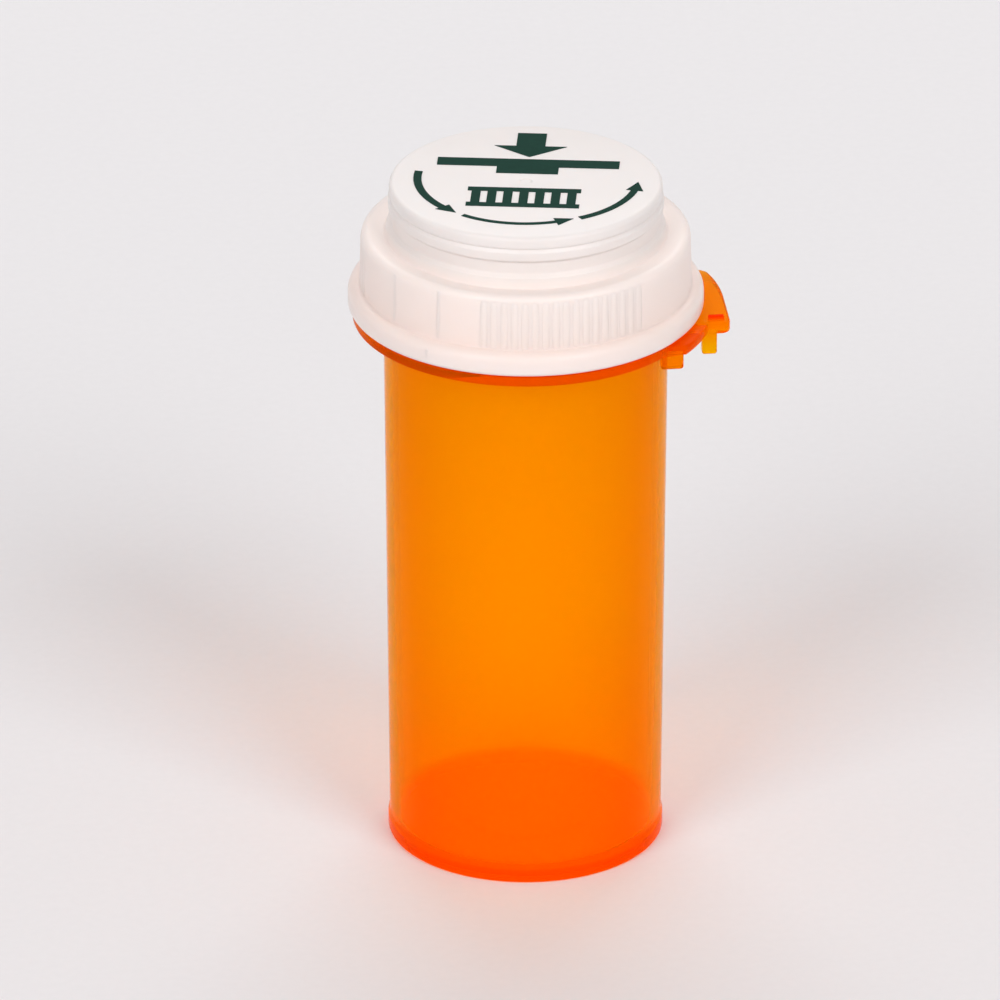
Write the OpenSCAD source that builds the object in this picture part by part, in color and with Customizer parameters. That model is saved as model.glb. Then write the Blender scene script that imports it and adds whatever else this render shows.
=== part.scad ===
// Prescription vial with a reversible, child-resistant screw cap.
// Origin: centre of the foot, on the surface the vial stands on. +Z runs up the vial's axis,
// and +X points at the middle of the press-down tab. Millimetres.

/* [Tube] */
// Outer radius of the foot ring
foot_r = 15.28; // [15.2:0.02:15.4]
// Outer radius of the tube just above the foot
tube_r_low = 15.1; // [14.9:0.05:15.15]
// Outer radius of the tube under the collar
tube_r_high = 15.65; // [15.5:0.05:15.8]
// Wall thickness of the tube
tube_wall = 0.8; // [0.6:0.05:0.9]
// Thickness of the floor
floor_t = 1.2; // [0.9:0.1:1.6]
// Radius of the shallow recess under the floor
recess_r = 7.5; // [5:0.5:10]

/* [Neck and collar] */
// Height of the collar's underside
collar_z = 62.5; // [55:0.5:90]
// Outer radius of the collar
collar_r = 19.05; // [18.9:0.05:19.2]
// Thickness of the collar
collar_t = 1.1; // [0.9:0.1:1.1]
// Outer radius of the neck
neck_r = 16.3; // [16.25:0.05:16.35]
// Bore radius of the neck, which the reversed cap's plug fits
neck_bore_r = 15.32; // [15.3:0.01:15.4]
// Height of the neck above the collar's underside
neck_h = 7.9; // [7.5:0.1:7.95]

/* [Screw thread] */
// Number of thread starts
thread_starts = 3; // [3]
// Rise of the thread in one full turn
thread_lead = 12; // [11.5:0.5:12.5]
// Width of a thread ridge where it meets the wall
thread_w = 1.3; // [1.1:0.1:1.4]

/* [Tab] */
// Half the width of the press-down tab
tab_half_w = 7.1; // [6.5:0.1:7.5]
// Reach of the tab's front edge from the vial's axis
tab_reach = 21.85; // [21.5:0.05:22.2]
// Radius of the bowed half of the tab's front edge
tab_bow_r = 20; // [18:1:30]
// Thickness of the tab
tab_t = 1.35; // [1.1:0.05:1.4]
// Radius of the collar's two wings beside the tab
wing_r = 20.6; // [20.4:0.1:20.8]
// Half the distance across both wings
wing_half_w = 12.6; // [12:0.1:13]

/* [Cap] */
// Overall height of the closed vial
overall_h = 78.45; // [78.3:0.05:78.6]
// Outer radius of the skirt
skirt_r = 18.1; // [18:0.05:18.2]
// Inner radius of the skirt
skirt_bore_r = 17.4; // [17.35:0.05:17.45]
// Height of the shoulder's top
shoulder_z = 72.45; // [72.4:0.05:72.6]
// Outer radius of the bead round the cap's mouth
bead_r = 19.7; // [19.55:0.05:19.8]
// Outer radius of the plug's wall
plug_r = 14.75; // [14.6:0.05:14.8]
// Outer radius of the plug's two snap rings
snap_ring_r = 15.25; // [15.15:0.05:15.25]
// Gripping ribs in each patch
ribs_per_patch = 17; // [11:2:19]
// Teeth in the ratchet ring
ratchet_teeth = 30; // [20:2:36]

/* [Hidden] */
$fn = 96;

amber = [1, 0.53, 0.05, 0.75];
white = [0.96, 0.94, 0.91];
liner_grey = [0.86, 0.86, 0.84];
ink = [0.18, 0.36, 0.31];

// tube and floor
foot_h = 1.6;              // height of the foot ring's straight side
foot_round = 0.3;          // rounding of the foot's lower edge
bore_r_low = 14.35;        // bore of the tube at the floor
bore_r_high = tube_r_high - tube_wall;
floor_z0 = 0.3;            // the floor hangs clear of the surface the foot ring stands on
floor_z1 = floor_z0 + floor_t;
recess_d = 0.35;

// neck
collar_top = collar_z + collar_t;
rim_z = collar_z + neck_h;
neck_step_h = 1;           // height of the cone between the tube's bore and the neck's

// thread ridge, measured radially from the wall it stands on
ridge_h = 0.85;
ridge_sink = 0.05;         // depth that a ridge is rooted in its wall
ridge_flank = 0.35;        // axial run of each sloping flank
neck_thread_z = 65.9;      // height of the neck ridges' lower ends
neck_thread_arc = 110;
cap_thread_drop = 1.6;     // the cap's ridges run this far under the neck's
cap_thread_from = 55;
cap_thread_arc = 95;
thread_steps = 22;

// tab and collar pocket
hinge_x = 16.75;           // axis of the tab's hinge, level with hinge_z
hinge_z = collar_z + 0.5;
web_t = 0.3;
pocket_x = 16.55;
tab_x0 = 16.8;
tab_gap = 0.25;            // slot on each side of the tab
tab_top = collar_top;
near_corner_r = 1.1;       // rounding of the tab's corner at the straight half of its edge
far_corner_r = 1.4;        // and at the bowed half
lug_t = 1.2;               // thickness of every finger lug
wing_lug_x = 13.5;
wing_lug_w = 2.5;
wing_lug_drop = 1.7;       // the lugs hang this far under the collar
tab_lug_x = 18.7;
tab_lug_w = 1.65;
tab_lug_drop = 2.5;
tooth_x = 17.7;            // near face of the lock tooth
tooth_t = 0.8;
tooth_up = 0.85;
tooth_w = 2.2;

// cap
bead_z0 = collar_top + 0.2;
bead_z1 = 66.45;
bead_round_top = 1.2;
bead_round_low = 0.6;
lock_recess_r = 18.9;      // radius of the recess in the bead's underside
lock_recess_h = 1.7;
ratchet_h = 0.6;           // height of the ratchet's teeth
ratchet_base = 0.3;
shoulder_t = 1.15;
shoulder_round = 0.6;
skirt_top = shoulder_z - shoulder_t;
lip_h = 1.15;              // height of the disc's edge
plug_bore_r = 13.9;
liner_t = 0.75;
liner_gap = 0.05;
print_t = 0.04;
rib_pitch = 3.6;           // degrees between gripping ribs
patch_middle = -82;        // direction of the first patch of ribs

module tube_ring(r_out, r_in, z0, z1) {
    translate([0, 0, z0]) difference() {
        cylinder(r = r_out, h = z1 - z0);
        translate([0, 0, -1]) cylinder(r = r_in, h = z1 - z0 + 2);
    }
}

// The moulded tube: a foot ring with a rounded lower edge, then a wall that widens towards the neck
module vial_wall() {
    color(amber) rotate_extrude() union() {
        polygon([
            [bore_r_low, 0], [foot_r - foot_round, 0], [foot_r - foot_round, foot_round],
            [foot_r, foot_round], [foot_r, foot_h], [tube_r_low, foot_h + 0.8],
            [tube_r_high, collar_z], [bore_r_high, collar_z], [bore_r_low, floor_z1]
        ]);
        translate([foot_r - foot_round, foot_round]) intersection() {
            circle(foot_round, $fn = 48);
            translate([0, -foot_round]) square([foot_round, foot_round * 2]);
        }
    }
}

// The floor: a disc with a shallow round recess under it and the gate's nub in the middle
module vial_floor() {
    color(amber) union() {
        difference() {
            translate([0, 0, floor_z0]) cylinder(r = bore_r_low, h = floor_t);
            cylinder(r = recess_r, h = floor_z0 + recess_d);
        }
        translate([0, 0, floor_z0 + 0.1]) cylinder(r = 0.9, h = recess_d);
    }
}

// The neck: a wider bore than the tube's, reached by a short cone, and a rounded rim
module vial_neck() {
    rim_round = 0.3;
    color(amber) rotate_extrude() union() {
        polygon([
            [bore_r_high, collar_z], [neck_r, collar_z], [neck_r, rim_z - rim_round],
            [neck_r - rim_round, rim_z - rim_round], [neck_r - rim_round, rim_z],
            [neck_bore_r, rim_z], [neck_bore_r, collar_z + neck_step_h]
        ]);
        translate([neck_r - rim_round, rim_z - rim_round]) intersection() {
            circle(rim_round, $fn = 48);
            square(rim_round);
        }
    }
}

// Cross-section of a thread ridge at one angle: four corners, outward for the neck, inward for the cap
function ridge_section(wall_r, side, a, z, s) = [
    for (p = [[-ridge_sink, -thread_w / 2], [ridge_h, ridge_flank - thread_w / 2],
              [ridge_h, thread_w / 2 - ridge_flank], [-ridge_sink, thread_w / 2]])
        let (r = wall_r + side * (p[0] > 0 ? p[0] * s : p[0]))
        [r * cos(a), r * sin(a), z + p[1] * (0.35 + 0.65 * s)]
];

// One helical ridge that fades in and out at its ends
module thread_ridge(wall_r, side, z0, arc) {
    fade = 3;
    rings = [
        for (i = [0:thread_steps])
            let (a = arc * i / thread_steps)
                ridge_section(wall_r, side, a, z0 + thread_lead * a / 360,
                    max(0.08, min(1, i / fade, (thread_steps - i) / fade)))
    ];
    pts = [for (ring = rings) each ring];
    quads = [
        for (i = [0:thread_steps - 1], j = [0:3])
            let (a = i * 4 + j, b = i * 4 + (j + 1) % 4)
            side > 0 ? [a, a + 4, b + 4, b] : [a, b, b + 4, a + 4]
    ];
    first = side > 0 ? [0, 1, 2, 3] : [3, 2, 1, 0];
    last = [for (k = side > 0 ? [3, 2, 1, 0] : [0, 1, 2, 3]) thread_steps * 4 + k];
    polyhedron(concat(pts), concat(quads, [first], [last]), convexity = 6);
}

// Three ridges round the neck, right-handed
module neck_thread() {
    color(amber) for (k = [0:thread_starts - 1])
        rotate([0, 0, k * 360 / thread_starts])
            thread_ridge(neck_r, 1, neck_thread_z, neck_thread_arc);
}

// Plan of the two wings of the collar, cut square at their ends
module wing_plan() {
    intersection() {
        circle(wing_r);
        translate([0, -wing_half_w]) square([wing_r, wing_half_w * 2]);
    }
}

// The collar: a ring round the neck with two wings, and a pocket for the tab between them
module collar_flange() {
    color(amber) difference() {
        translate([0, 0, collar_z]) linear_extrude(collar_t) union() {
            circle(collar_r);
            wing_plan();
        }
        translate([0, 0, collar_z - 1]) cylinder(r = neck_r, h = collar_t + 2);
        translate([pocket_x, -tab_half_w - tab_gap, collar_z - 1])
            cube([10, (tab_half_w + tab_gap) * 2, collar_t + 2]);
    }
}

// A small square lug with its lower corners rounded, hanging under the collar or the tab
module lug(x, y, w, d, top, bottom) {
    r = 0.35;
    translate([x, y, 0]) rotate([90, 0, 0]) translate([0, 0, -d]) linear_extrude(d) union() {
        translate([0, bottom + r]) square([w, top - bottom - r]);
        translate([r, bottom]) square([w - 2 * r, r]);
        for (cx = [r, w - r]) translate([cx, bottom + r]) circle(r, $fn = 32);
    }
}

// Finger lugs under the ends of the wings
module wing_lugs() {
    color(amber) for (s = [0, 1]) mirror([0, s, 0])
        lug(wing_lug_x, wing_half_w - lug_t, wing_lug_w, lug_t, collar_z, collar_z - wing_lug_drop);
}

// The thin web that the tab bends on
module tab_hinge_web() {
    web_w = 12;
    color(amber) translate([pocket_x, -web_w / 2, hinge_z - web_t / 2])
        cube([hinge_x - pocket_x, web_w, web_t]);
}

// Plan of the tab: one half of the front edge is straight, the other is bowed, and its corners are rounded
module tab_plan() {
    bow_x = tab_reach - tab_bow_r;
    far_x = bow_x + sqrt(pow(tab_bow_r - far_corner_r, 2) - pow(tab_half_w - far_corner_r, 2));
    near_x = tab_reach - near_corner_r;
    near_y = near_corner_r - tab_half_w;
    far_y = tab_half_w - far_corner_r;
    translate([tab_x0, -tab_half_w]) square([near_x - tab_x0, tab_half_w]);
    translate([tab_x0, near_y]) square([tab_reach - tab_x0, -near_y]);
    translate([near_x, near_y]) circle(near_corner_r, $fn = 64);
    intersection() {
        translate([bow_x, 0]) circle(tab_bow_r, $fn = 360);
        translate([tab_x0, 0]) square([tab_bow_r, far_y]);
    }
    translate([tab_x0, 0]) square([far_x - tab_x0, tab_half_w]);
    translate([far_x, far_y]) circle(far_corner_r, $fn = 64);
}

// The tab that is pressed down to free the cap
module lock_tab() {
    color(amber) translate([0, 0, tab_top - tab_t]) linear_extrude(tab_t) tab_plan();
}

// The tooth on the tab that catches the cap's ratchet
module lock_tooth() {
    slant = 0.2;
    color(amber) translate([tooth_x, 0, tab_top]) rotate([90, 0, 90]) linear_extrude(tooth_t)
        polygon([[-tooth_w / 2, 0], [tooth_w / 2, 0], [tooth_w / 2 - slant, tooth_up], [0, tooth_up]]);
}

// Finger lugs under the sides of the tab
module tab_lugs() {
    color(amber) for (s = [0, 1]) mirror([0, s, 0])
        lug(tab_lug_x, tab_half_w - lug_t, tab_lug_w, lug_t, tab_top - tab_t, collar_z - tab_lug_drop);
}

// The soft ring that seals the rim; it rises with the cap
module seal_liner() {
    color(liner_grey) tube_ring(17.2, 15.4, rim_z + liner_gap, rim_z + liner_gap + liner_t);
}

// The skirt: the plain cylinder that covers the neck
module cap_skirt() {
    color(white) tube_ring(skirt_r, skirt_bore_r, bead_z1, skirt_top);
}

// The shoulder: the ring between the skirt and the plug, with a rounded outer edge
module cap_shoulder() {
    r = shoulder_round;
    color(white) rotate_extrude() union() {
        translate([plug_r, skirt_top]) square([skirt_r - plug_r, shoulder_t - r]);
        translate([plug_r, skirt_top]) square([skirt_r - plug_r - r, shoulder_t]);
        translate([skirt_r - r, shoulder_z - r]) intersection() {
            circle(r, $fn = 64);
            square(r);
        }
    }
}

// The bead round the cap's mouth, with the recess that holds the ratchet
module cap_bead() {
    rt = bead_round_top;
    rl = bead_round_low;
    color(white) rotate_extrude() difference() {
        union() {
            translate([skirt_bore_r, bead_z0]) square([bead_r - rt - skirt_bore_r, bead_z1 - bead_z0]);
            translate([skirt_bore_r, bead_z0 + rl])
                square([bead_r - skirt_bore_r, bead_z1 - bead_z0 - rl - rt]);
            translate([bead_r - rl - 1, bead_z0]) square([1, rl]);
            translate([bead_r - rt, bead_z1 - rt]) intersection() {
                circle(rt, $fn = 96);
                square(rt);
            }
            translate([bead_r - rl, bead_z0 + rl]) intersection() {
                circle(rl, $fn = 64);
                translate([0, -rl]) square(rl);
            }
        }
        translate([skirt_bore_r - 1, bead_z0 - 1])
            square([lock_recess_r - skirt_bore_r + 1, lock_recess_h + 1]);
    }
}

// Gripping ribs: three patches of fine upright ribs, each patch on a pad that lies on the skirt
module cap_grips() {
    rib_h = skirt_top - bead_z1;
    pad_t = 0.06;
    patch_arc = ribs_per_patch * rib_pitch;
    color(white) for (p = [0:2]) rotate([0, 0, patch_middle + p * 120]) translate([0, 0, bead_z1]) union() {
        rotate_extrude(angle = patch_arc, start = -patch_arc / 2, $fn = 720)
            translate([skirt_r, 0]) square([pad_t, rib_h]);
        for (i = [0:ribs_per_patch - 1]) rotate([0, 0, (i - (ribs_per_patch - 1) / 2) * rib_pitch])
            linear_extrude(rib_h) polygon([
                [skirt_r + pad_t / 2, -0.3], [skirt_r + 0.2, -0.17], [skirt_r + 0.25, 0],
                [skirt_r + 0.2, 0.17], [skirt_r + pad_t / 2, 0.3]
            ]);
    }
}

// Three ridges inside the skirt that run under the neck's ridges
module cap_thread() {
    color(white) for (k = [0:thread_starts - 1])
        rotate([0, 0, k * 360 / thread_starts + cap_thread_from])
            thread_ridge(skirt_bore_r, -1,
                neck_thread_z - cap_thread_drop + thread_lead * cap_thread_from / 360, cap_thread_arc);
}

// The ratchet: a flat ring with saw teeth on its underside
module ratchet_ring() {
    z1 = bead_z0 + lock_recess_h;
    z0 = z1 - ratchet_base;
    pitch = 360 / ratchet_teeth;
    gap_share = 0.08;          // share of the pitch left between two teeth
    w = 2 * skirt_bore_r * tan(pitch / 2) * (1 - gap_share);
    color(white) union() {
        tube_ring(lock_recess_r, skirt_bore_r, z0, z1);
        intersection() {
            tube_ring(lock_recess_r - 0.1, skirt_bore_r + 0.1, z0 - ratchet_h, z0 + 0.01);
            for (i = [0:ratchet_teeth - 1]) rotate([0, 0, i * pitch])
                translate([17, 0, z0]) rotate([90, 0, 90]) linear_extrude(2.5)
                    polygon([[-w / 2, 0.01], [-w / 2, -ratchet_h], [w / 2, 0.01]]);
        }
    }
}

// The hollow plug that seals the neck when the cap is turned over
module plug_wall() {
    color(white) tube_ring(plug_r, plug_bore_r, skirt_top, overall_h - lip_h);
}

// The closed end of the plug, with a rounded edge and a dimple where the plastic was fed in
module plug_disc() {
    lip_r = 15.1;
    dimple_r = 0.6;
    dimple_d = 0.12;
    r = 0.35;
    color(white) difference() {
        rotate_extrude() union() {
            translate([0, overall_h - lip_h]) square([lip_r, lip_h - r]);
            translate([0, overall_h - lip_h]) square([lip_r - r, lip_h]);
            translate([lip_r - r, overall_h - r]) intersection() {
                circle(r, $fn = 48);
                square(r);
            }
        }
        translate([0, 0, overall_h - dimple_d]) cylinder(r = dimple_r, h = 1);
    }
}

// Two low rings round the plug that snap into the neck
module snap_rings() {
    color(white) for (band = [[75.45, 1.5], [72.9, 1.3]]) { // lower edge and width of each
        half = band[1] / 2;
        rotate_extrude() translate([0, band[0] + half]) polygon([
            [plug_r, -half], [snap_ring_r - 0.15, -half], [snap_ring_r, 0.2 - half],
            [snap_ring_r, half - 0.5], [plug_r, half]
        ]);
    }
}

// A point of the disc, from its radius and its direction
function polar(r, a) = [r * cos(a), r * sin(a)];

// A curved arrow on the disc: its radius goes from r0 to r1, and it ends in a barbed head
module curved_arrow(from, to, r0, r1, w) {
    head = 9;                  // degrees of arc that the head takes
    barb = 1.7;                // degrees that its barbs point back
    half = 0.95;               // half the head's width
    steps = 12;
    neck = to - head;
    function radius(a) = r0 + (r1 - r0) * (a - from) / (to - from);
    outer = [for (i = [0:steps]) let (a = from + (neck - from) * i / steps) polar(radius(a) + w / 2, a)];
    inner = [for (i = [steps:-1:0]) let (a = from + (neck - from) * i / steps) polar(radius(a) - w / 2, a)];
    linear_extrude(print_t) union() {
        polygon(concat(outer, inner));
        polygon([
            polar(radius(neck) - half, neck - barb), polar(radius(neck) + half, neck - barb), polar(r1, to)
        ]);
    }
}

// The ink: a sign for pressing a tab down, and three curved arrows that say which way to turn
module cap_print() {
    print_turn = -9.5;         // direction that the sign faces, in degrees
    bars = 7;                  // bars in the sign for the ribbed skirt
    bar_pitch = 1.75;
    bar_w = 1;
    rail = [12.4, 1];          // length and width of the lines above and below the bars
    rail_y = [-6.9, -2.9];
    color(ink) translate([0, 0, overall_h]) rotate([0, 0, print_turn]) {
        curved_arrow(171, 231, 12, 11.3, 0.9);
        curved_arrow(236, 301, 11.3, 11.2, 0.6);
        curved_arrow(304.5, 362, 11.4, 12.3, 0.8);
        linear_extrude(print_t) union() {
            translate([-10, 3.7]) square([20, 2]);
            translate([-3.4, 1.9]) square([6.8, 3.8]);
            polygon([[-4, 9.2], [0, 6.3], [4, 9.2], [1.6, 9.2], [1.6, 12.6], [-1.6, 12.6], [-1.6, 9.2]]);
            for (i = [0:bars - 1])
                translate([(i - (bars - 1) / 2) * bar_pitch - bar_w / 2, rail_y[0]])
                    square([bar_w, rail_y[1] - rail_y[0]]);
            for (y = rail_y) translate([-rail[0] / 2, y]) square(rail);
        }
    }
}

vial_wall();
vial_floor();
vial_neck();
neck_thread();
collar_flange();
wing_lugs();
tab_hinge_web();
lock_tab();
lock_tooth();
tab_lugs();
seal_liner();
cap_skirt();
cap_shoulder();
cap_bead();
cap_grips();
cap_thread();
ratchet_ring();
plug_wall();
plug_disc();
snap_rings();
cap_print();
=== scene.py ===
import bpy, bmesh, math
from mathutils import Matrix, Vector


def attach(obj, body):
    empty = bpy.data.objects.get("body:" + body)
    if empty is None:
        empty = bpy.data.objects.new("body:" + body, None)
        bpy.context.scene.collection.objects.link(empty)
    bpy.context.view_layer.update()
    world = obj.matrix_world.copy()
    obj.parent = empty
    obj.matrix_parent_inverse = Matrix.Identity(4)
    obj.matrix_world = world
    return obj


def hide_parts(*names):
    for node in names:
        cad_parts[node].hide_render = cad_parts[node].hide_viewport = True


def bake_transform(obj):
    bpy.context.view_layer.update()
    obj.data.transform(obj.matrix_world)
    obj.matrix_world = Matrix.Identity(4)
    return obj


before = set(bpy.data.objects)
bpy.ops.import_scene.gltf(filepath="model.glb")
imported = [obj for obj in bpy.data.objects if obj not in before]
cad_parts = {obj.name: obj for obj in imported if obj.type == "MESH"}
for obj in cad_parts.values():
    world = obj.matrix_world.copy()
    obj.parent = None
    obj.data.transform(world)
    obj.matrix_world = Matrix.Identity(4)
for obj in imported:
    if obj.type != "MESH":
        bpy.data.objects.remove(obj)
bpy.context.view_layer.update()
scene = bpy.context.scene
scene.view_settings.view_transform = "Standard"

# --- Camera -----------------------------------------------------------------------------------
# A long lens from well back, looking down on the vial from the front, a little to the left of
# straight on, so the press-down tab points to the right and slightly away.
azimuth, elevation = math.radians(-6), math.radians(25.71)
distance, lens = 1.652, 538.2
target = Vector((0, 0, 0.03888))
left_of_axis, above_axis = 0.00283, 0.000758
back = Vector((math.sin(azimuth) * math.cos(elevation), -math.cos(azimuth) * math.cos(elevation),
               math.sin(elevation)))
right = Vector((math.cos(azimuth), math.sin(azimuth), 0))
up = back.cross(right)
camera_data = bpy.data.cameras.new("studio_camera")
camera_data.sensor_width = 36
camera_data.lens = lens
camera_data.clip_start, camera_data.clip_end = 0.1, 20
camera = bpy.data.objects.new("studio_camera", camera_data)
scene.collection.objects.link(camera)
camera.location = target + back * distance - right * left_of_axis + up * above_axis
camera.rotation_euler = (-back).to_track_quat("-Z", "Y").to_euler()
scene.camera = camera


# --- Studio: floor and lights -----------------------------------------------------------------
# The vial stands on a sheet of plain white card. Two large softboxes light it from the front,
# right and left, a smaller one from behind, and a bright white tent closes the rest of the room.
def shade(code):
    """An sRGB hex colour as the linear colour that a shader reads."""
    parts = [int(code[i:i + 2], 16) / 255 for i in (0, 2, 4)]
    return [c / 12.92 if c <= 0.04045 else ((c + 0.055) / 1.055) ** 2.4 for c in parts] + [1]


def add(tree, kind, links=None, inputs=None, **settings):
    """Adds a node, with its settings, its constants and its incoming links."""
    new = tree.nodes.new(kind)
    for key, value in settings.items():
        setattr(new, key, value)
    for key, value in (inputs or {}).items():
        new.inputs[key].default_value = value
    for key, source in (links or {}).items():
        tree.links.new(source, new.inputs[key])
    return new


def new_material(name):
    material = bpy.data.materials.new(name)
    material.use_nodes = True
    material.node_tree.nodes.clear()
    return material, material.node_tree


card, tree = new_material("white_card")
place = add(tree, "ShaderNodeTexCoord")
fibre = add(tree, "ShaderNodeTexNoise", {"Vector": place.outputs["Object"]}, {"Scale": 900, "Detail": 4})
tone = add(tree, "ShaderNodeValToRGB", {"Fac": fibre.outputs["Fac"]})
tone.color_ramp.elements[0].color = shade("E6E4E5")
tone.color_ramp.elements[1].color = shade("EAE8E9")
surface = add(tree, "ShaderNodeBsdfPrincipled", {"Base Color": tone.outputs["Color"]},
              {"Roughness": 0.75, "Specular IOR Level": 0.15})
add(tree, "ShaderNodeOutputMaterial", {"Surface": surface.outputs["BSDF"]})

floor_mesh = bpy.data.meshes.new("floor")
half, card_z = 3.0, -0.00004
corners = [(-half, -half, card_z), (half, -half, card_z), (half, half, card_z), (-half, half, card_z)]
floor_mesh.from_pydata(corners, [], [(0, 1, 2, 3)])
floor_mesh.materials.append(card)
floor = bpy.data.objects.new("floor", floor_mesh)
scene.collection.objects.link(floor)

world = bpy.data.worlds.new("white_tent")
world.use_nodes = True
tree = world.node_tree
tree.nodes.clear()
place = add(tree, "ShaderNodeTexCoord")
height = add(tree, "ShaderNodeSeparateXYZ", {"Vector": place.outputs["Generated"]})
walls = add(tree, "ShaderNodeMapRange", {"Value": height.outputs["Z"]},
            {"From Min": 0.0, "From Max": 0.7, "To Min": 0.88, "To Max": 0.21})
tent = add(tree, "ShaderNodeBackground", {"Strength": walls.outputs["Result"]}, {"Color": shade("F7F4F6")})
add(tree, "ShaderNodeOutputWorld", {"Surface": tent.outputs["Background"]})
scene.world = world

for name, direction, elevation_deg, size, power, distance in (
        ("softbox_right", 31, 40, (0.9, 0.9), 19.0, 2.2),
        ("softbox_left", -41, 40, (0.9, 0.9), 18.0, 2.2),
        ("softbox_back", 174, 45, (0.9, 0.6), 5.0, 1.1)):
    lamp = bpy.data.lights.new(name, "AREA")
    lamp.shape, lamp.energy = "RECTANGLE", power
    lamp.size, lamp.size_y = size
    holder = bpy.data.objects.new(name, lamp)
    scene.collection.objects.link(holder)
    a, e = math.radians(direction), math.radians(elevation_deg)
    away = Vector((math.sin(a) * math.cos(e), -math.cos(a) * math.cos(e), math.sin(e)))
    holder.location = Vector((0, 0, 0.04)) + away * distance
    holder.rotation_euler = (-away).to_track_quat("-Z", "Y").to_euler()


# --- Vial -------------------------------------------------------------------------------------
# The amber vial is one injection moulding: tube, floor, neck and the collar with its two wings,
# pocket and finger lugs. The plastic is clear polypropylene, so it is one closed mesh whose
# walls have their real thickness.
def rounded(corners, steps=5):
    """A profile in millimetres from corners (r, z) or (r, z, rounding)."""
    points = []
    for i, corner in enumerate(corners):
        here = Vector(corner[:2])
        if len(corner) < 3 or i in (0, len(corners) - 1):
            points.append(here)
            continue
        before, after = Vector(corners[i - 1][:2]), Vector(corners[i + 1][:2])
        u, v = (before - here).normalized(), (after - here).normalized()
        half_angle = max(0.05, math.acos(max(-1, min(1, u.dot(v)))) / 2)
        cut = corner[2] / math.tan(half_angle)
        centre = here + (u + v).normalized() * corner[2] / math.sin(half_angle)
        first, last = here + u * cut - centre, here + v * cut - centre
        sweep = math.atan2(first.x * last.y - first.y * last.x, first.dot(last))
        for k in range(steps + 1):
            t = sweep * k / steps
            points.append(centre + Vector((first.x * math.cos(t) - first.y * math.sin(t),
                                           first.x * math.sin(t) + first.y * math.cos(t))))
    return points


def ring_of(bm, r, z, count):
    """A level ring of vertices, or one vertex as often as needed where it shrinks to the axis."""
    if r < 1e-6:
        return [bm.verts.new((0, 0, z / 1000))] * count
    return [bm.verts.new((r / 1000 * math.cos(2 * math.pi * i / count),
                          r / 1000 * math.sin(2 * math.pi * i / count), z / 1000)) for i in range(count)]


def skin(bm, lower, upper, closed=True):
    """Faces between two loops of as many points."""
    n = len(lower)
    for i in range(n if closed else n - 1):
        j = (i + 1) % n
        corners = []
        for v in (lower[i], lower[j], upper[j], upper[i]):
            if v not in corners:
                corners.append(v)
        bm.faces.new(corners)


def turn(bm, profile, count):
    """Turns a profile about the axis and returns its first and last rings."""
    rings = [ring_of(bm, p.x, p.y, count) for p in profile]
    for a, b in zip(rings, rings[1:]):
        skin(bm, a, b)
    return rings[0], rings[-1]


def loop_of(bm, outline, z):
    """Vertices along a flat outline in millimetres, at one height."""
    return [bm.verts.new((x / 1000, y / 1000, z / 1000)) for x, y in outline]


def inset(outline, d):
    """A closed outline moved inwards by d; it runs anticlockwise."""
    points, n = [], len(outline)
    for i in range(n):
        a, b, c = (Vector(outline[(i + k) % n]) for k in (-1, 0, 1))
        u, v = (b - a).normalized(), (c - b).normalized()
        m = Vector((-u.y - v.y, u.x + v.x))
        m = m / m.length_squared * 2 if m.length > 1e-6 else Vector((-u.y, u.x))
        points.append(tuple(b + m * d))
    return points


def fill(bm, loops):
    """A flat face that the first loop bounds and the other loops pierce."""
    edges = []
    for loop in loops:
        for i, v in enumerate(loop):
            w = loop[(i + 1) % len(loop)]
            edges.append(bm.edges.get((v, w)) or bm.edges.new((v, w)))
    bmesh.ops.triangle_fill(bm, use_beauty=True, edges=edges)


def hanging_lug(bm, x0, x1, y0, y1, top, bottom, r=0.35, b=0.14):
    """A finger lug with soft edges; returns the loop where it meets the plate above it."""
    stations = []
    for y, d in ((y0, b), (y0 + b, 0), (y1 - b, 0), (y1, b)):
        path = rounded([(x0 + d, top), (x0 + d, bottom + d, r), (x1 - d, bottom + d, r), (x1 - d, top)])
        stations.append([bm.verts.new((p.x / 1000, y / 1000, p.y / 1000)) for p in path])
    for a, c in zip(stations, stations[1:]):
        skin(bm, a, c, closed=False)
    bm.faces.new(stations[0])
    bm.faces.new(stations[-1])
    return [s[0] for s in stations] + [s[-1] for s in reversed(stations)]


def write_thickness_and_shade(mesh, thickness_shade_of):
    """Writes the depth attribute: 0 where the plastic is a thin wall, towards 1 where it is thick, and also
    where painted shade is laid on.
    """
    values = [thickness_shade_of(v.co.x * 1000, v.co.y * 1000, v.co.z * 1000) for v in mesh.vertices]
    mesh.attributes.new("thickness_and_painted_shade", "FLOAT", "POINT").data.foreach_set("value", values)


def finish_mesh(bm, name, material, body=None, crease=32):
    """Closes a piece: normals outwards, soft shading with crisp corners, one object on one body."""
    bmesh.ops.recalc_face_normals(bm, faces=bm.faces)
    mesh = bpy.data.meshes.new(name)
    bm.to_mesh(mesh)
    bm.free()
    for face in mesh.polygons:
        face.use_smooth = True
    mesh.set_sharp_from_angle(angle=math.radians(crease))
    mesh.materials.append(material)
    piece = bpy.data.objects.new(name, mesh)
    scene.collection.objects.link(piece)
    if body:
        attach(piece, body)
    return piece
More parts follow.
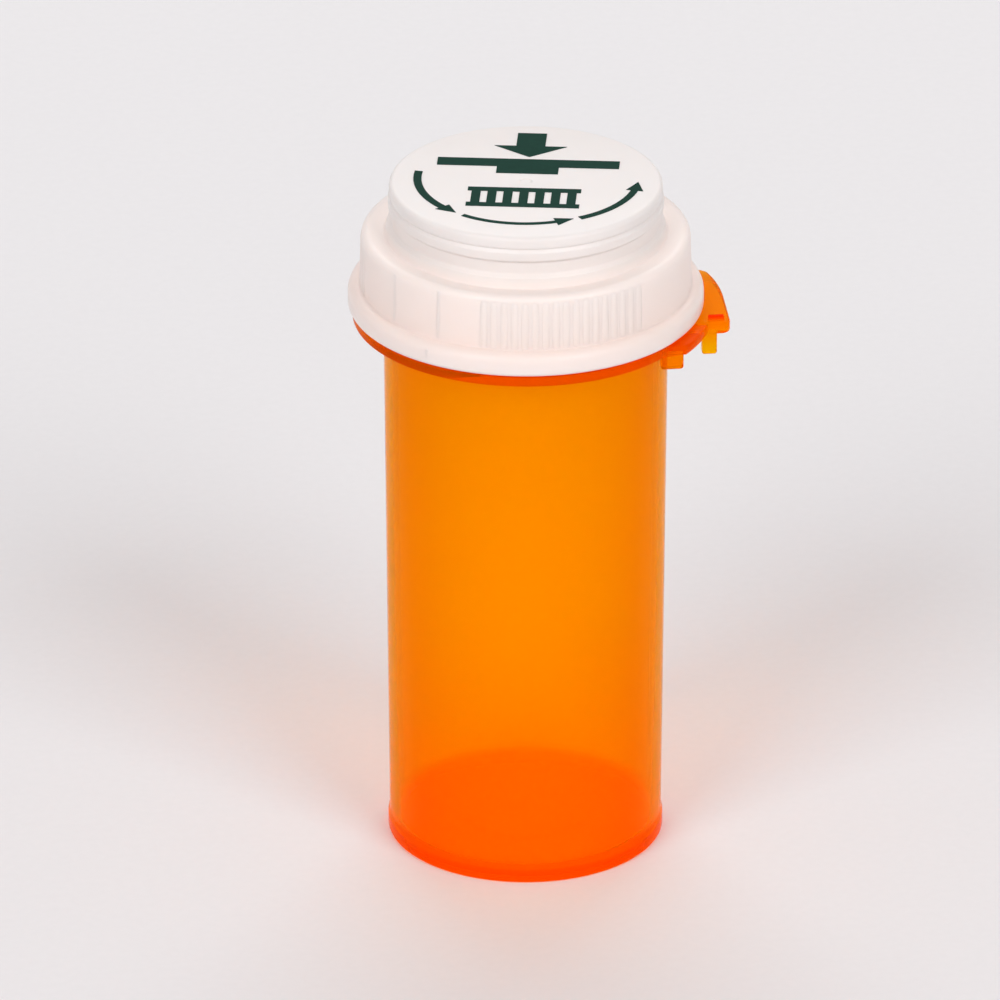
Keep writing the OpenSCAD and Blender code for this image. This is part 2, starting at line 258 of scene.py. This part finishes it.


# Clear amber polypropylene, injection moulded in a polished mould: glossy, with a faint haze.
# The dye is in the plastic, so the collar, the floor and the lugs, which are thick, look redder;
# at a glancing angle the haze in the wall shows more. The depth attribute says how thick a place is,
# and it also carries painted shade: the tube redder and darker towards its foot, and a darker front arc.
amber, tree = new_material("moulded_amber_polypropylene")
place = add(tree, "ShaderNodeTexCoord")
haze = add(tree, "ShaderNodeTexNoise", {"Vector": place.outputs["Object"]}, {"Scale": 70, "Detail": 3})
gloss = add(tree, "ShaderNodeMapRange", {"Value": haze.outputs["Fac"]},
            {"From Min": 0.3, "From Max": 0.7, "To Min": 0.1, "To Max": 0.17})
dye = add(tree, "ShaderNodeValToRGB", {"Fac": haze.outputs["Fac"]})
dye.color_ramp.elements[0].color = shade("FFCC00")
dye.color_ramp.elements[1].color = shade("FFD000")
thickness_shade_node = add(tree, "ShaderNodeAttribute", attribute_name="thickness_and_painted_shade")
# Redder where the plastic is thick, and also where painted shade lies on the tube's foot and the front of
# the floor ring.
thick_and_shaded = add(tree, "ShaderNodeMix", {"Factor": thickness_shade_node.outputs["Fac"], 6: dye.outputs["Color"]},
            {7: shade("FF3600")}, data_type="RGBA")
facing = add(tree, "ShaderNodeLayerWeight", inputs={"Blend": 0.5})
clear = add(tree, "ShaderNodeMapRange", {"Value": facing.outputs["Facing"]},
            {"From Min": 0.4, "From Max": 1.0, "To Min": 0.87, "To Max": 0.58},
            interpolation_type="SMOOTHSTEP")
milky = add(tree, "ShaderNodeMath", {0: thickness_shade_node.outputs["Fac"]}, {1: 0.15}, operation="MULTIPLY")
clear = add(tree, "ShaderNodeMath", {0: clear.outputs["Result"], 1: milky.outputs["Value"]},
            operation="SUBTRACT", use_clamp=True)
waves = add(tree, "ShaderNodeTexNoise", {"Vector": place.outputs["Object"]}, {"Scale": 260, "Detail": 2})
relief = add(tree, "ShaderNodeBump", {"Height": waves.outputs["Fac"]},
             {"Strength": 0.08, "Distance": 0.0001})
surface = add(tree, "ShaderNodeBsdfPrincipled",
              {"Base Color": thick_and_shaded.outputs[2], "Roughness": gloss.outputs["Result"],
               "Transmission Weight": clear.outputs["Value"], "Normal": relief.outputs["Normal"]},
              {"IOR": 1.06, "Specular IOR Level": 0.3, "Specular Tint": shade("FFC400")})
pass_light = add(tree, "ShaderNodeBsdfTransparent", inputs={"Color": shade("E3DBA4")})
path = add(tree, "ShaderNodeLightPath")
both = add(tree, "ShaderNodeMixShader", {0: path.outputs["Is Shadow Ray"], 1: surface.outputs["BSDF"],
                                         2: pass_light.outputs["BSDF"]})
tint = add(tree, "ShaderNodeVolumeAbsorption", inputs={"Color": shade("FFF4C0"), "Density": 2500})
add(tree, "ShaderNodeOutputMaterial", {"Surface": both.outputs["Shader"], "Volume": tint.outputs["Volume"]})

tube_sides = 240
foot_r, foot_h, foot_step_z = 15.28, 1.6, 2.3
tube_r, neck_r, rim_z = 15.65, 16.3, 70.4
collar_z, collar_top = 62.5, 63.6
wing_r, wing_half, collar_r = 20.6, 12.6, 19.05
pocket_x, pocket_half = 16.55, 7.35
under_floor, floor_top, recess_z = 0.3, 1.5, 0.65
low_wall_top = 20.0

bm = bmesh.new()
foot = rounded([
    (0, 0.42), (0.9, 0.42, 0.1), (1.05, recess_z, 0.1), (7.45, recess_z, 0.12), (7.65, under_floor, 0.12),
    (14.2, under_floor, 0.2), (14.4, 0, 0.12), (foot_r, 0, 0.3), (foot_r, foot_h, 0.5),
    (15.1, foot_step_z, 1.2), (15.12, 4.0), (15.27, low_wall_top), (tube_r, collar_z)])
_, under_ring = turn(bm, foot, tube_sides)
bore = rounded([
    (neck_r, collar_top), (neck_r, rim_z, 0.3), (15.36, rim_z, 0.18), (15.32, 63.5, 0.4),
    (14.85, collar_z, 0.6), (14.85, 61.5), (14.5, low_wall_top), (14.35, floor_top, 1.0),
    (7.9, floor_top), (7.4, floor_top), (6.9, floor_top), (6.4, floor_top), (0, floor_top)])
over_ring, _ = turn(bm, bore, tube_sides)


def arc(r, start, end, step=2.0):
    """Points on an arc about the origin, from one angle to another in degrees."""
    n = max(2, int(abs(end - start) / step))
    return [(r * math.cos(math.radians(start + (end - start) * k / n)),
             r * math.sin(math.radians(start + (end - start) * k / n))) for k in range(n + 1)]


wing_end = math.degrees(math.asin(wing_half / wing_r))
wing_root = math.degrees(math.asin(wing_half / collar_r))
mouth = math.degrees(math.asin(pocket_half / wing_r))
plate = (arc(wing_r, mouth, wing_end) + arc(collar_r, wing_root, 360 - wing_root)
         + arc(wing_r, 360 - wing_end, 360 - mouth) + [(pocket_x, -pocket_half), (pocket_x, pocket_half)])


def soft_plate(bm, outline, bottom, top, edge):
    """The sides of a flat plate with softened edges; returns its bottom and top loops."""
    nearly = edge * 0.3
    stations = [loop_of(bm, inset(outline, d), z) for z, d in (
        (bottom, edge), (bottom + nearly, nearly), (bottom + edge, 0), (top - edge, 0),
        (top - nearly, nearly), (top, edge))]
    for a, b in zip(stations, stations[1:]):
        skin(bm, a, b)
    return stations[0], stations[-1]


under, over = soft_plate(bm, plate, collar_z, collar_top, 0.14)
lug_w, lug_inset = 1.2, 0.02
lugs = [hanging_lug(bm, 13.5, 16.0, y, y + lug_w, collar_z, 60.8)
        for y in (lug_inset - wing_half, wing_half - lug_w - lug_inset)]
fill(bm, [under, under_ring] + lugs)
fill(bm, [over, over_ring])
vial = finish_mesh(bm, "amber_vial", amber, "vial")


collar_depth, wing_depth, foot_depth, step_depth, floor_depth = 0.69, 0.53, 0.69, 0.36, 0.9


def vial_thickness_and_shade(x, y, z):
    """Thick collar, wings and foot, a thicker floor; and painted shade: the tube redder and darker towards
    its foot, and a darker arc on the front of the floor ring.
    """
    r = math.hypot(x, y)
    if z > 60.5:
        return 0.0 if r < 16.9 else wing_depth if x > 12 else collar_depth
    # Painted shade: the tube turns redder and darker from low_wall_top down towards the card.
    low_painted_shade = max(0.0, 0.2 * (low_wall_top - z) / 18)
    if r > 14.9:
        return low_painted_shade if z > foot_step_z else foot_depth if z < foot_h else step_depth
    if z > 1.6:
        return max(low_painted_shade, floor_depth * (2.2 - z) / 0.6)
    # Painted shade: a darker arc on the front half of the floor, over the recess ring.
    shaded_arc_band = 6.8 < r < 7.5
    return floor_depth + (0.1 * max(0.0, -y / r) if shaded_arc_band else 0.0)


write_thickness_and_shade(vial.data, vial_thickness_and_shade)
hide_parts("vial_wall", "vial_floor", "vial_neck", "collar_flange", "wing_lugs")

# --- Press-down tab ---------------------------------------------------------------------------
# The tab is part of the same moulding and hangs on a thin web, which bends when the tab is pressed;
# here the tab is built at rest, as a piece of its own. Its outer edge is straight on one half and bowed
# on the other, and a tooth on top catches the cap's ratchet.
tab_x, reach, half_w = 16.8, 21.85, 7.1
near_r, far_r, bow_r = 1.1, 1.4, 20.0
bow_x = reach - bow_r
far_x = bow_x + math.sqrt((bow_r - far_r) ** 2 - (half_w - far_r) ** 2)
lean = math.degrees(math.asin((half_w - far_r) / (bow_r - far_r)))
tab_plan = ([(tab_x, -half_w)]
            + [(reach - near_r + x, near_r - half_w + y) for x, y in arc(near_r, -90, 0, 12)]
            + [(bow_x + x, y) for x, y in arc(bow_r, 0, lean)][:-1]
            + [(far_x + x, half_w - far_r + y) for x, y in arc(far_r, lean, 90, 12)]
            + [(tab_x, half_w)])
tab_z0, tab_z1 = 62.25, 63.6
web_z0, web_z1, web_half = 62.85, 63.15, 6.0


def block_on(bm, layers):
    """A small block moulded on a plate, from its foot up; returns the loop where it stands."""
    loops = [loop_of(bm, [(x0, y0), (x1, y0), (x1, y1), (x0, y1)], z) for z, x0, x1, y0, y1 in layers]
    for a, b in zip(loops, loops[1:]):
        skin(bm, a, b)
    bm.faces.new(loops[-1])
    return loops[0]


bm = bmesh.new()
under, over = soft_plate(bm, tab_plan, tab_z0, tab_z1, 0.2)
lugs = [hanging_lug(bm, 18.7, 20.35, y, y + 1.1, tab_z0, 59.75, 0.3, 0.12) for y in (-6.85, 5.75)]
tooth = block_on(bm, [(tab_z1, 17.7, 18.5, -1.1, 1.1), (64.38, 17.75, 18.45, -0.1, 0.95),
                      (64.44, 17.85, 18.35, 0.0, 0.85)])
ridge_x0, ridge_x1, ridge_y0, ridge_y1, ridge_h = 19.4, 21.15, -6.75, -6.1, 0.65
ridge = block_on(bm, [(tab_z1 + rise, ridge_x0 + d, ridge_x1 - d, ridge_y0 + d, ridge_y1 - d)
                      for rise, d in ((0, 0), (ridge_h - 0.1, 0.03), (ridge_h, 0.12))])
fill(bm, [under] + lugs)
fill(bm, [over, tooth, ridge])
web = [[bm.verts.new((x / 1000, y / 1000, z / 1000)) for y, z in
        ((-web_half, web_z0), (web_half, web_z0), (web_half, web_z1), (-web_half, web_z1))]
       for x in (16.45, 16.55, 16.6, 16.65, 16.7, 16.75, 16.8, 16.85)]
for a, b in zip(web, web[1:]):
    skin(bm, a, b)
bm.faces.new(web[0])
bm.faces.new(web[-1])
tab = finish_mesh(bm, "press_down_tab", amber)
write_thickness_and_shade(tab.data, lambda x, y, z: 0.0 if z < 62.2 else 0.95 if z > 63.8 else 0.4)
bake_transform(tab)
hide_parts("lock_tab", "lock_tooth", "tab_lugs", "tab_hinge_web")

# --- Sealing liner ----------------------------------------------------------------------------
# A soft ring of closed-cell foam, punched from sheet, lies between the neck's rim and the cap.
foam, tree = new_material("polyethylene_foam")
place = add(tree, "ShaderNodeTexCoord")
cells = add(tree, "ShaderNodeTexVoronoi", {"Vector": place.outputs["Object"]}, {"Scale": 2600})
tone = add(tree, "ShaderNodeValToRGB", {"Fac": cells.outputs["Distance"]})
tone.color_ramp.elements[0].color = shade("D8D8D3")
tone.color_ramp.elements[1].color = shade("E6E6E1")
relief = add(tree, "ShaderNodeBump", {"Height": cells.outputs["Distance"]},
             {"Strength": 0.5, "Distance": 0.0001})
surface = add(tree, "ShaderNodeBsdfPrincipled",
              {"Base Color": tone.outputs["Color"], "Normal": relief.outputs["Normal"]},
              {"Roughness": 0.8, "IOR": 1.49})
add(tree, "ShaderNodeOutputMaterial", {"Surface": surface.outputs["BSDF"]})

liner_r0, liner_r1, liner_z0, liner_z1, liner_soft = 15.4, 17.2, 70.45, 71.2, 0.15
start = (16.3, liner_z0)
bm = bmesh.new()
section = rounded([start, (liner_r0, liner_z0, liner_soft), (liner_r0, liner_z1, liner_soft),
                   (liner_r1, liner_z1, liner_soft), (liner_r1, liner_z0, liner_soft), start])
rings = [ring_of(bm, p.x, p.y, 180) for p in section[:-1]]
for a, b in zip(rings, rings[1:] + rings[:1]):
    skin(bm, a, b)
liner = finish_mesh(bm, "sealing_liner", foam, "liner")
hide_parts("seal_liner")

# --- Cap --------------------------------------------------------------------------------------
# The cap is one injection moulding in white polypropylene: bead, skirt, shoulder and a hollow
# plug with two snap rings, closed by the disc. It is reversible, so the plug fits the neck too.
# The plastic is satin and lets a little light in. Its colour is painted by height: warmer on the
# skirt, as painted orange light from the amber plastic behind its thin wall, lightest on the shoulder,
# and darker on the plug and the disc, as painted shade.
white, tree = new_material("moulded_white_polypropylene")
place = add(tree, "ShaderNodeTexCoord")
flow = add(tree, "ShaderNodeTexNoise", {"Vector": place.outputs["Object"]}, {"Scale": 90, "Detail": 3})
tone = add(tree, "ShaderNodeValToRGB", {"Fac": flow.outputs["Fac"]})
tone.color_ramp.elements[0].color = shade("FAFAFA")
tone.color_ramp.elements[1].color = shade("FFFFFF")
# Painted light and shade by height: orange light warms the skirt, the shoulder is lightest, and the plug
# and the disc are darker.
level = add(tree, "ShaderNodeSeparateXYZ", {"Vector": place.outputs["Object"]})
step = add(tree, "ShaderNodeMapRange", {"Value": level.outputs["Z"]},
           {"From Min": 0.0638, "From Max": 0.0785})
painted_light_by_height = add(tree, "ShaderNodeValToRGB", {"Fac": step.outputs["Result"]})
stops = painted_light_by_height.color_ramp.elements
stops[0].color = shade("F2E8E4")
stops[1].color = shade("ECE6E3")
for position, code in ((0.2, "F5E3DB"), (0.5, "F7E8E1"), (0.6, "F8EBE5"), (0.66, "EEE5E0")):
    stops.new(position).color = shade(code)
warm = add(tree, "ShaderNodeMix", {6: painted_light_by_height.outputs["Color"], 7: tone.outputs["Color"]}, {"Factor": 1.0},
           data_type="RGBA", blend_type="MULTIPLY")
gloss = add(tree, "ShaderNodeMapRange", {"Value": flow.outputs["Fac"]},
            {"From Min": 0.3, "From Max": 0.7, "To Min": 0.36, "To Max": 0.44})
grain = add(tree, "ShaderNodeTexNoise", {"Vector": place.outputs["Object"]}, {"Scale": 2200, "Detail": 2})
relief = add(tree, "ShaderNodeBump", {"Height": grain.outputs["Fac"]},
             {"Strength": 0.1, "Distance": 0.00005})
surface = add(tree, "ShaderNodeBsdfPrincipled",
              {"Base Color": warm.outputs[2], "Roughness": gloss.outputs["Result"],
               "Normal": relief.outputs["Normal"]},
              {"IOR": 1.49, "Specular IOR Level": 0.4, "Subsurface Weight": 0.35,
               "Subsurface Radius": (1.0, 0.85, 0.75), "Subsurface Scale": 0.0007})
add(tree, "ShaderNodeOutputMaterial", {"Surface": surface.outputs["BSDF"]})

cap_sides = 288
plug_bore_r, plug_bore_top, plug_r, lip_r, disc_z, gate_r = 13.9, 77.3, 14.78, 15.0, 78.45, 0.75
skirt_bore_r, liner_seat_z, shoulder_z = 17.4, 71.3, 72.9
bead_bore_r, bead_r, mouth_z, bead_top = 18.9, 19.55, 63.8, 66.45
inside = [(0, plug_bore_top), (plug_bore_r, plug_bore_top, 0.4), (plug_bore_r, liner_seat_z, 0.2),
          (skirt_bore_r, liner_seat_z, 0.3), (skirt_bore_r, 65.5, 0.15), (bead_bore_r, 65.5, 0.15),
          (bead_bore_r, mouth_z, 0.1)]
bead_and_skirt = [(bead_r, mouth_z, 0.6), (bead_r, bead_top, 1.1), (18.2, bead_top, 0.25),
                  (18.06, shoulder_z, 0.9)]
lower_snap_ring = [(15.5, 72.5, 0.25), (15.2, 73.65, 0.12), (plug_r, 74.1, 0.3)]
upper_snap_ring = [(plug_r, 75.4, 0.25), (15.1, 75.7, 0.25), (15.12, 76.6, 0.3), (14.82, 76.98, 0.15)]
lip_and_disc = [(lip_r, 77.18, 0.15), (lip_r, disc_z, 0.55), (gate_r, disc_z, 0.1), (0.55, 78.33, 0.08),
                (0, 78.33)]
bm = bmesh.new()
shell = rounded(inside + bead_and_skirt + lower_snap_ring + upper_snap_ring + lip_and_disc)
turn(bm, shell, cap_sides)
cap = finish_mesh(bm, "white_cap", white, "cap")
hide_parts("cap_skirt", "cap_shoulder", "cap_bead", "plug_wall", "plug_disc", "snap_rings")
for node, plastic in (("ratchet_ring", white), ("cap_thread", white), ("neck_thread", amber)):
    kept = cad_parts[node]
    kept.data.materials.clear()
    kept.data.materials.append(plastic)

# --- Gripping ribs ----------------------------------------------------------------------------
# Three patches of fine upright ribs stand on the skirt, so that wet fingers can turn the cap.
# They are part of the cap's moulding. Each is seated inside the skirt's wall, so that only its
# low rounded top stands out, and ends squarely.
tree = bpy.data.node_groups.new("gripping_ribs", "GeometryNodeTree")
tree.is_modifier = True
sizes = {}
for label, kind in (("Patches", "NodeSocketInt"), ("Ribs in a Patch", "NodeSocketInt"),
                    ("Pitch Angle", "NodeSocketFloat"), ("First Patch Angle", "NodeSocketFloat"),
                    ("Seat Radius", "NodeSocketFloat"), ("Rib Height", "NodeSocketFloat"),
                    ("Rib Width", "NodeSocketFloat"), ("Rib Length", "NodeSocketFloat"),
                    ("Middle Level", "NodeSocketFloat"), ("Draft Angle", "NodeSocketFloat"),
                    ("Plastic", "NodeSocketMaterial")):
    sizes[label] = tree.interface.new_socket(label, in_out="INPUT", socket_type=kind).identifier
tree.interface.new_socket("Geometry", in_out="OUTPUT", socket_type="NodeSocketGeometry")
given = add(tree, "NodeGroupInput").outputs


def reckon(operation, a, b=None):
    """A Math node on sockets or plain numbers."""
    links = {i: v for i, v in enumerate((a, b)) if isinstance(v, bpy.types.NodeSocket)}
    plain = {i: v for i, v in enumerate((a, b)) if isinstance(v, (int, float))}
    return add(tree, "ShaderNodeMath", links, plain, operation=operation).outputs[0]


total = reckon("MULTIPLY", given["Patches"], given["Ribs in a Patch"])
row = add(tree, "GeometryNodeMeshLine", {"Count": total})
number = add(tree, "GeometryNodeInputIndex").outputs[0]
patch = reckon("FLOOR", reckon("DIVIDE", number, given["Ribs in a Patch"]))
rib = reckon("MODULO", number, given["Ribs in a Patch"])
middle = reckon("DIVIDE", reckon("SUBTRACT", given["Ribs in a Patch"], 1), 2)
spread = reckon("MULTIPLY", reckon("SUBTRACT", rib, middle), given["Pitch Angle"])
jump = reckon("MULTIPLY", patch, reckon("DIVIDE", 2 * math.pi, given["Patches"]))
angle = reckon("ADD", reckon("ADD", spread, jump), given["First Patch Angle"])
spot = add(tree, "ShaderNodeCombineXYZ", {
    "X": reckon("MULTIPLY", reckon("COSINE", angle), given["Seat Radius"]),
    "Y": reckon("MULTIPLY", reckon("SINE", angle), given["Seat Radius"]), "Z": given["Middle Level"]})
stand = add(tree, "GeometryNodeSetPosition", {"Geometry": row.outputs[0], "Position": spot.outputs[0]})
grain = add(tree, "GeometryNodeMeshUVSphere", inputs={"Segments": 14, "Rings": 14, "Radius": 1.0})
where = add(tree, "GeometryNodeInputPosition").outputs[0]
parts = add(tree, "ShaderNodeSeparateXYZ", {0: where}).outputs
reach_up = reckon("POWER", reckon("ABSOLUTE", parts["Z"]), 0.15)
square_end = reckon("MULTIPLY", reckon("SIGN", parts["Z"]), reach_up)
longer = add(tree, "ShaderNodeCombineXYZ", {"X": parts["X"], "Y": parts["Y"], "Z": square_end})
rib_shape = add(tree, "GeometryNodeSetPosition",
                {"Geometry": grain.outputs["Mesh"], "Position": longer.outputs[0]})
aim = add(tree, "ShaderNodeCombineXYZ", {"Y": given["Draft Angle"], "Z": angle})
size = add(tree, "ShaderNodeCombineXYZ", {
    "X": given["Rib Height"], "Y": reckon("DIVIDE", given["Rib Width"], 2),
    "Z": reckon("DIVIDE", given["Rib Length"], 2)})
planted = add(tree, "GeometryNodeInstanceOnPoints", {
    "Points": stand.outputs[0], "Instance": rib_shape.outputs[0], "Rotation": aim.outputs[0],
    "Scale": size.outputs[0]})
solid = add(tree, "GeometryNodeRealizeInstances", {"Geometry": planted.outputs[0]})
soft = add(tree, "GeometryNodeSetShadeSmooth", {"Geometry": solid.outputs[0]})
painted = add(tree, "GeometryNodeSetMaterial", {"Geometry": soft.outputs[0], "Material": given["Plastic"]})
add(tree, "NodeGroupOutput", {"Geometry": painted.outputs[0]})


def grow(name, tree, values, identifiers):
    """Runs a Geometry Nodes tree on an empty mesh and returns the result as a plain piece."""
    seed = bpy.data.objects.new(name + "_seed", bpy.data.meshes.new(name + "_seed"))
    scene.collection.objects.link(seed)
    modifier = seed.modifiers.new(name, "NODES")
    modifier.node_group = tree
    for label, value in values.items():
        modifier[identifiers[label]] = value
    bpy.context.view_layer.update()
    ready = seed.evaluated_get(bpy.context.evaluated_depsgraph_get())
    mesh = bpy.data.meshes.new_from_object(ready)
    seed.modifiers.clear()
    bpy.data.objects.remove(seed)
    mesh.name = name
    piece = bpy.data.objects.new(name, mesh)
    scene.collection.objects.link(piece)
    return piece


ribs = grow("gripping_ribs", tree, {
    "Patches": 3, "Ribs in a Patch": 17, "Pitch Angle": math.radians(3.6),
    "First Patch Angle": math.radians(-82), "Seat Radius": 0.0179, "Rib Height": 0.0003,
    "Rib Width": 0.0014, "Rib Length": 0.0061, "Middle Level": 0.0692, "Draft Angle": math.radians(-1.3),
    "Plastic": white}, sizes)
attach(ribs, "cap")
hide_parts("cap_grips")

# --- Mould marks ------------------------------------------------------------------------------
# Where two blocks of the mould met, a hair-thin upright line stands on the skirt. A shorter one
# on the bead is where the plastic was let in.
for name, count, pitch, middle_angle, radius, height, width, length, level, draft in (
        ("parting_lines", 2, 20.4, -138.0, 0.01802, 0.00014, 0.0008, 0.0058, 0.0694, -1.3),
        ("gate_mark", 1, 0.0, -129.7, 0.01945, 0.00013, 0.0004, 0.0012, 0.0652, 0.0)):
    mark = grow(name, tree, {
        "Patches": 1, "Ribs in a Patch": count, "Pitch Angle": math.radians(pitch),
        "First Patch Angle": math.radians(middle_angle), "Seat Radius": radius, "Rib Height": height,
        "Rib Width": width, "Rib Length": length, "Middle Level": level,
        "Draft Angle": math.radians(draft), "Plastic": white}, sizes)
    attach(mark, "cap")

# --- Printed sign -----------------------------------------------------------------------------
# Dark green ink, pad printed on the disc: a plain sign for pressing a tab down and three
# curved arrows that say which way to turn.
ink, tree = new_material("pad_printed_green_ink")
place = add(tree, "ShaderNodeTexCoord")
film = add(tree, "ShaderNodeTexNoise", {"Vector": place.outputs["Object"]}, {"Scale": 1500, "Detail": 3})
tone = add(tree, "ShaderNodeValToRGB", {"Fac": film.outputs["Fac"]})
tone.color_ramp.elements[0].color = shade("0C3329")
tone.color_ramp.elements[1].color = shade("103D31")
surface = add(tree, "ShaderNodeBsdfPrincipled", {"Base Color": tone.outputs["Color"]},
              {"Roughness": 0.7, "IOR": 1.5, "Specular IOR Level": 0.08})
add(tree, "ShaderNodeOutputMaterial", {"Surface": surface.outputs["BSDF"]})
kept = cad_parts["cap_print"]
kept.data.materials.clear()
kept.data.materials.append(ink)
